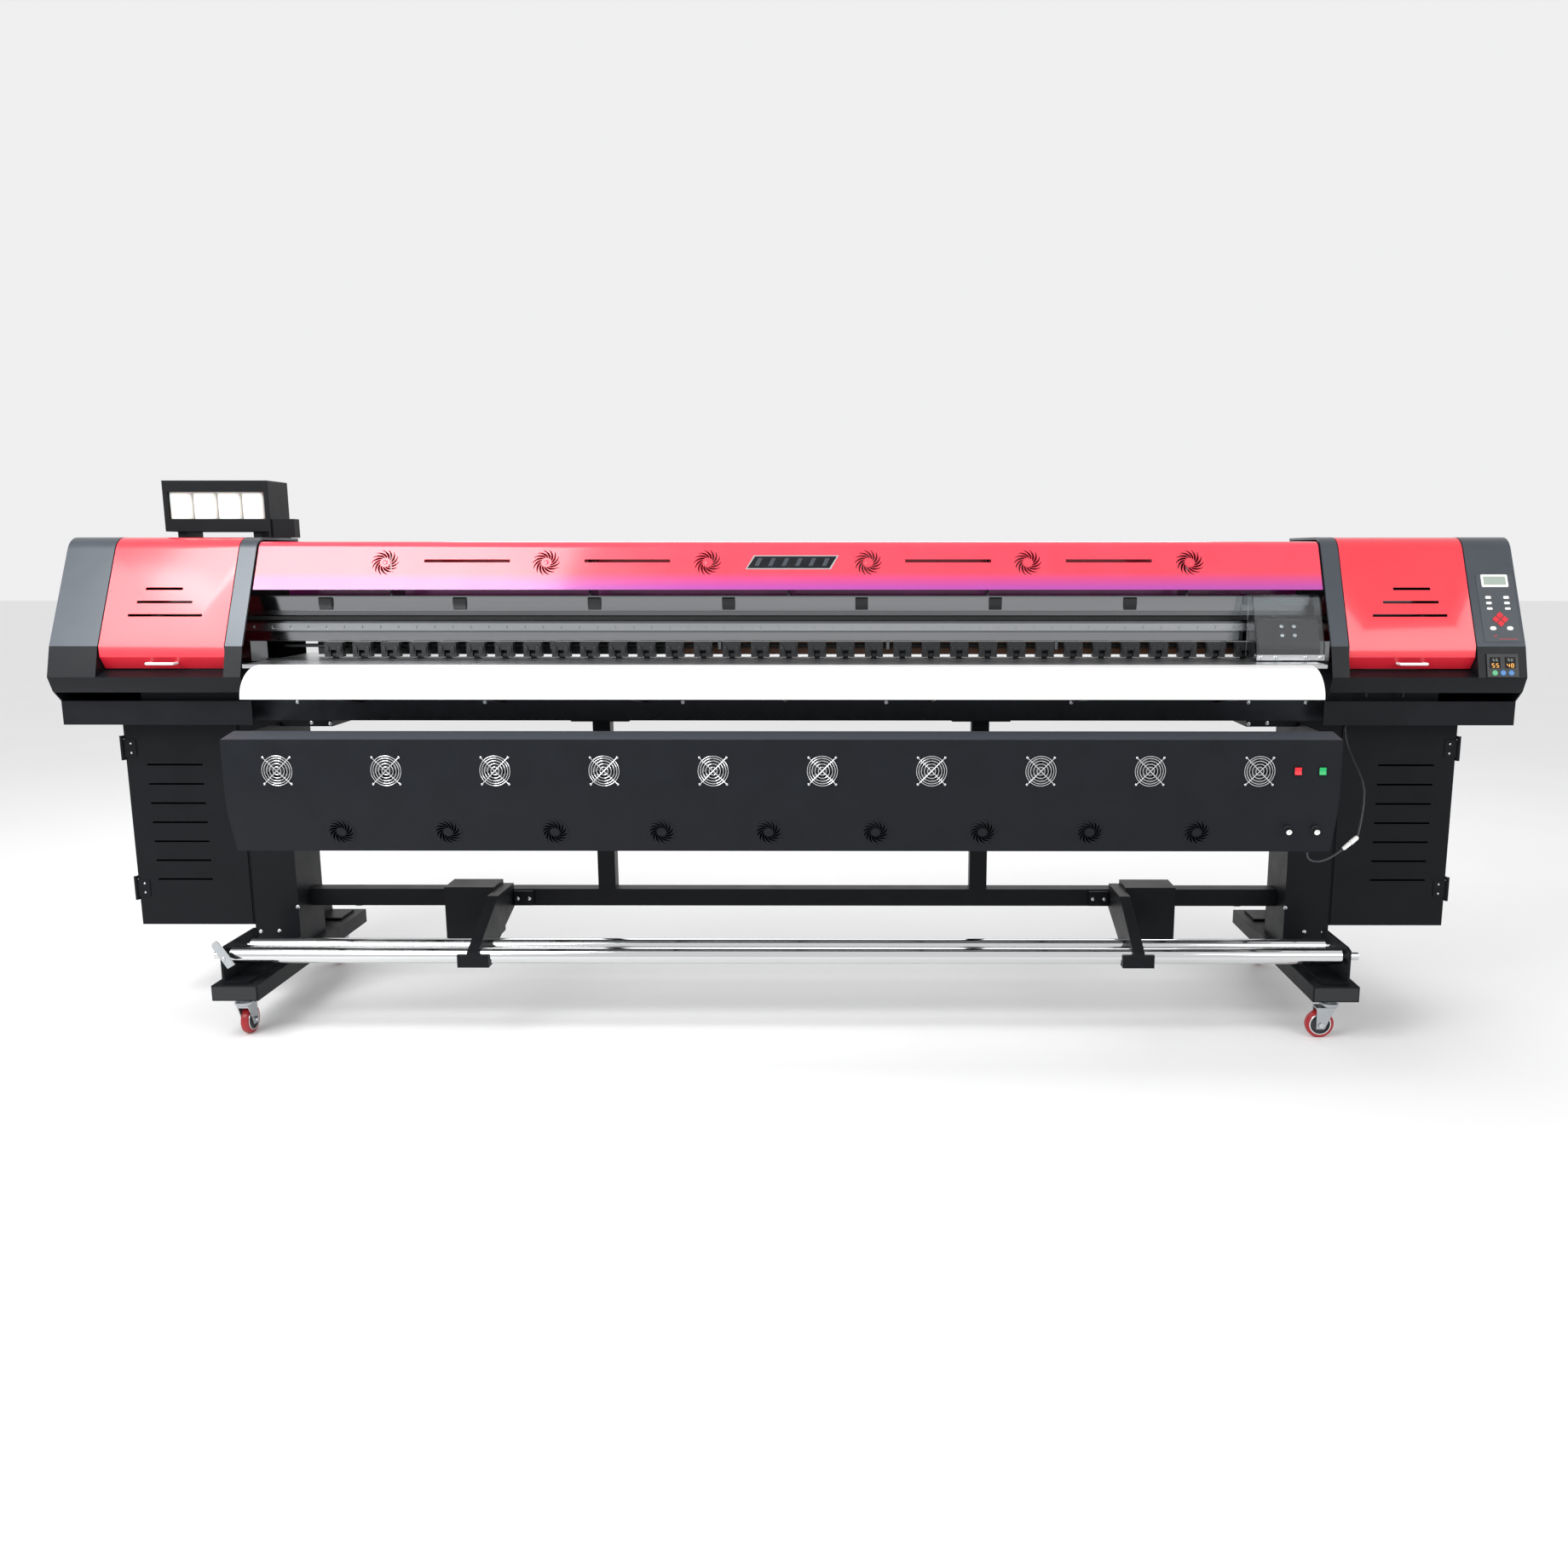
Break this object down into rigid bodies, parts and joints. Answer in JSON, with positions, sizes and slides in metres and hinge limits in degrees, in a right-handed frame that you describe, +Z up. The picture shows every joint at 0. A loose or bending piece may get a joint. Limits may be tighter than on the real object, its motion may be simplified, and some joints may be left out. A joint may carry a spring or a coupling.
{
  "type": "wide-format roll-to-roll inkjet printer",
  "caption": "Wide roll-to-roll inkjet printer on casters, with a print bridge, end housings, drying box, ink rack and take-up rollers.",
  "frame": {"origin": "on the floor, under the middle of the machine", "axes": "+X along the machine to the operator's right, +Y from the operator through the machine to its rear, +Z up"},
  "size_m": [4.73, 0.96, 1.774],
  "materials": {
    "black_paint": "satin powder coat",
    "black_anodised": "satin",
    "platen_aluminium": "brushed",
    "white_sheet": "satin",
    "rail_steel": "ground",
    "red_paint": "gloss",
    "grey_shell": "satin",
    "black_shell": "satin",
    "panel_overlay": "matt film",
    "key_plastic": "matt film",
    "black_plastic": "matt",
    "white_plastic": "gloss",
    "wire_chrome": "bright",
    "lead_sheath": "matt",
    "belt_rubber": "matt",
    "clear_cover": "clear",
    "head_metal": "satin",
    "tube_chrome": "polished",
    "red_plastic": "gloss",
    "green_plastic": "gloss",
    "zinc_plate": "zinc plated",
    "red_tread": "polyurethane"
  },
  "bodies": {
    "frame": {"left_foot": "black_paint", "right_foot": "black_paint", "left_leg": "black_paint", "right_leg": "black_paint", "lower_frame": "black_paint", "main_beam": "black_anodised", "platen": "platen_aluminium", "front_apron": "white_sheet", "rail_beam": "platen_aluminium", "linear_rail": "rail_steel", "beam_cover": "red_paint", "left_hood": "grey_shell", "right_hood": "grey_shell", "left_base": "black_shell", "right_base": "black_shell", "left_cabinet": "black_paint", "right_cabinet": "black_paint", "control_panel": "panel_overlay", "keypad": "key_plastic", "temperature_controller": "black_plastic", "ink_rack": "black_paint", "ink_tanks": "white_plastic", "roller_brackets": "black_paint", "dryer_box": "black_paint", "fan_guards": "wire_chrome", "fan_rotors": "black_plastic", "dryer_lead": "lead_sheath", "lead_connector": "white_plastic", "power_inlet": "black_plastic", "drive_belt": "belt_rubber"},
    "left_door": {"left_door": "red_paint", "left_handle": "white_plastic"},
    "right_door": {"right_door": "red_paint", "right_handle": "white_plastic"},
    "left_cabinet_door": {"left_cabinet_door": "black_paint"},
    "right_cabinet_door": {"right_cabinet_door": "black_paint"},
    "carriage": {"carriage": "black_plastic", "carriage_cover": "clear_cover", "print_heads": "head_metal"},
    "motor_pulley": {"motor_pulley": "head_metal"},
    "idler_pulley": {"idler_pulley": "head_metal"},
    "capping_station": {"capping_station": "black_plastic"},
    "feed_roller": {"feed_roller": "rail_steel"},
    "pinch_arms": {"pinch_arms": "black_plastic"},
    "pinch_wheels": {"pinch_wheels": "belt_rubber"},
    "takeup_front_roller": {"takeup_front_roller": "tube_chrome"},
    "takeup_rear_roller": {"takeup_rear_roller": "tube_chrome"},
    "supply_shaft": {"supply_shaft": "tube_chrome"},
    "red_switch": {"red_switch": "red_plastic"},
    "green_switch": {"green_switch": "green_plastic"},
    "left_knob": {"left_knob": "black_plastic"},
    "right_knob": {"right_knob": "black_plastic"},
    "front_left_fork": {"front_left_fork": "zinc_plate"},
    "front_left_wheel": {"front_left_wheel": "red_tread"},
    "front_right_fork": {"front_right_fork": "zinc_plate"},
    "front_right_wheel": {"front_right_wheel": "red_tread"},
    "rear_left_fork": {"rear_left_fork": "zinc_plate"},
    "rear_left_wheel": {"rear_left_wheel": "red_tread"},
    "rear_right_fork": {"rear_right_fork": "zinc_plate"},
    "rear_right_wheel": {"rear_right_wheel": "red_tread"}
  },
  "joints": [
    {"name": "carriage_travel", "type": "slide", "parent": "frame", "child": "carriage", "axis": [1, 0, 0], "range_m": [-3.575, 0.335]},
    {"name": "motor_pulley_spin", "type": "hinge", "parent": "frame", "child": "motor_pulley", "pos_m": [2.115, 0.027, 0], "axis": [0, 0, 1], "continuous": true},
    {"name": "idler_pulley_spin", "type": "hinge", "parent": "frame", "child": "idler_pulley", "pos_m": [-2.115, 0.027, 0], "axis": [0, 0, 1], "continuous": true},
    {"name": "capping_lift", "type": "slide", "parent": "frame", "child": "capping_station", "axis": [0, 0, 1], "range_m": [0, 0.007]},
    {"name": "left_door_hinge", "type": "hinge", "parent": "frame", "child": "left_door", "pos_m": [0, 0.06, 1.578], "axis": [-1, 0, 0], "range_deg": [0, 75]},
    {"name": "right_door_hinge", "type": "hinge", "parent": "frame", "child": "right_door", "pos_m": [0, 0.06, 1.578], "axis": [-1, 0, 0], "range_deg": [0, 75]},
    {"name": "left_cabinet_hinge", "type": "hinge", "parent": "frame", "child": "left_cabinet_door", "pos_m": [-2.235, -0.0503, 0], "axis": [0, 0, -1], "range_deg": [0, 110]},
    {"name": "right_cabinet_hinge", "type": "hinge", "parent": "frame", "child": "right_cabinet_door", "pos_m": [2.235, -0.0503, 0], "axis": [0, 0, 1], "range_deg": [0, 110]},
    {"name": "feed_roller_spin", "type": "hinge", "parent": "frame", "child": "feed_roller", "pos_m": [0, -0.02, 1.1752], "axis": [1, 0, 0], "continuous": true},
    {"name": "pinch_lift", "type": "hinge", "parent": "frame", "child": "pinch_arms", "pos_m": [0, 0.045, 1.228], "axis": [-1, 0, 0], "range_deg": [0, 12]},
    {"name": "pinch_wheel_spin", "type": "hinge", "parent": "pinch_arms", "child": "pinch_wheels", "pos_m": [0, -0.02, 1.2005], "axis": [1, 0, 0], "continuous": true},
    {"name": "takeup_front_spin", "type": "hinge", "parent": "frame", "child": "takeup_front_roller", "pos_m": [0, -0.35, 0.266], "axis": [1, 0, 0], "continuous": true},
    {"name": "takeup_rear_spin", "type": "hinge", "parent": "frame", "child": "takeup_rear_roller", "pos_m": [0, -0.25, 0.266], "axis": [1, 0, 0], "continuous": true},
    {"name": "supply_spin", "type": "hinge", "parent": "frame", "child": "supply_shaft", "pos_m": [0, 0.385, 0.266], "axis": [1, 0, 0], "continuous": true},
    {"name": "red_switch_rock", "type": "hinge", "parent": "frame", "child": "red_switch", "pos_m": [1.559, -0.468, 0.886], "axis": [1, 0, 0], "range_deg": [0, 12]},
    {"name": "green_switch_rock", "type": "hinge", "parent": "frame", "child": "green_switch", "pos_m": [1.633, -0.468, 0.886], "axis": [1, 0, 0], "range_deg": [0, 12]},
    {"name": "left_knob_turn", "type": "hinge", "parent": "frame", "child": "left_knob", "pos_m": [1.545, -0.45102, 0.703], "axis": [0, 0.9436, 0.3311], "range_deg": [0, 280]},
    {"name": "right_knob_turn", "type": "hinge", "parent": "frame", "child": "right_knob", "pos_m": [1.63, -0.45102, 0.703], "axis": [0, 0.9436, 0.3311], "range_deg": [0, 280]},
    {"name": "front_left_swivel", "type": "hinge", "parent": "frame", "child": "front_left_fork", "pos_m": [-1.7425, -0.36, 0], "axis": [0, 0, 1], "continuous": true},
    {"name": "front_left_roll", "type": "hinge", "parent": "front_left_fork", "child": "front_left_wheel", "pos_m": [-1.7425, -0.332, 0.045], "axis": [-1, 0, 0], "continuous": true},
    {"name": "front_right_swivel", "type": "hinge", "parent": "frame", "child": "front_right_fork", "pos_m": [1.7425, -0.36, 0], "axis": [0, 0, 1], "continuous": true},
    {"name": "front_right_roll", "type": "hinge", "parent": "front_right_fork", "child": "front_right_wheel", "pos_m": [1.7145, -0.36, 0.045], "axis": [0, -1, 0], "continuous": true},
    {"name": "rear_left_swivel", "type": "hinge", "parent": "frame", "child": "rear_left_fork", "pos_m": [-1.7425, 0.422, 0], "axis": [0, 0, 1], "continuous": true},
    {"name": "rear_left_roll", "type": "hinge", "parent": "rear_left_fork", "child": "rear_left_wheel", "pos_m": [-1.7425, 0.394, 0.045], "axis": [1, 0, 0], "continuous": true},
    {"name": "rear_right_swivel", "type": "hinge", "parent": "frame", "child": "rear_right_fork", "pos_m": [1.7425, 0.422, 0], "axis": [0, 0, 1], "continuous": true},
    {"name": "rear_right_roll", "type": "hinge", "parent": "rear_right_fork", "child": "rear_right_wheel", "pos_m": [1.7425, 0.394, 0.045], "axis": [1, 0, 0], "continuous": true}
  ],
  "couplings": [
    {"joint": "motor_pulley_spin", "follows": "carriage_travel", "rad_per_m": 50},
    {"joint": "idler_pulley_spin", "follows": "carriage_travel", "rad_per_m": 50},
    {"joint": "pinch_wheel_spin", "follows": "feed_roller_spin", "ratio": -1.5}
  ]
}
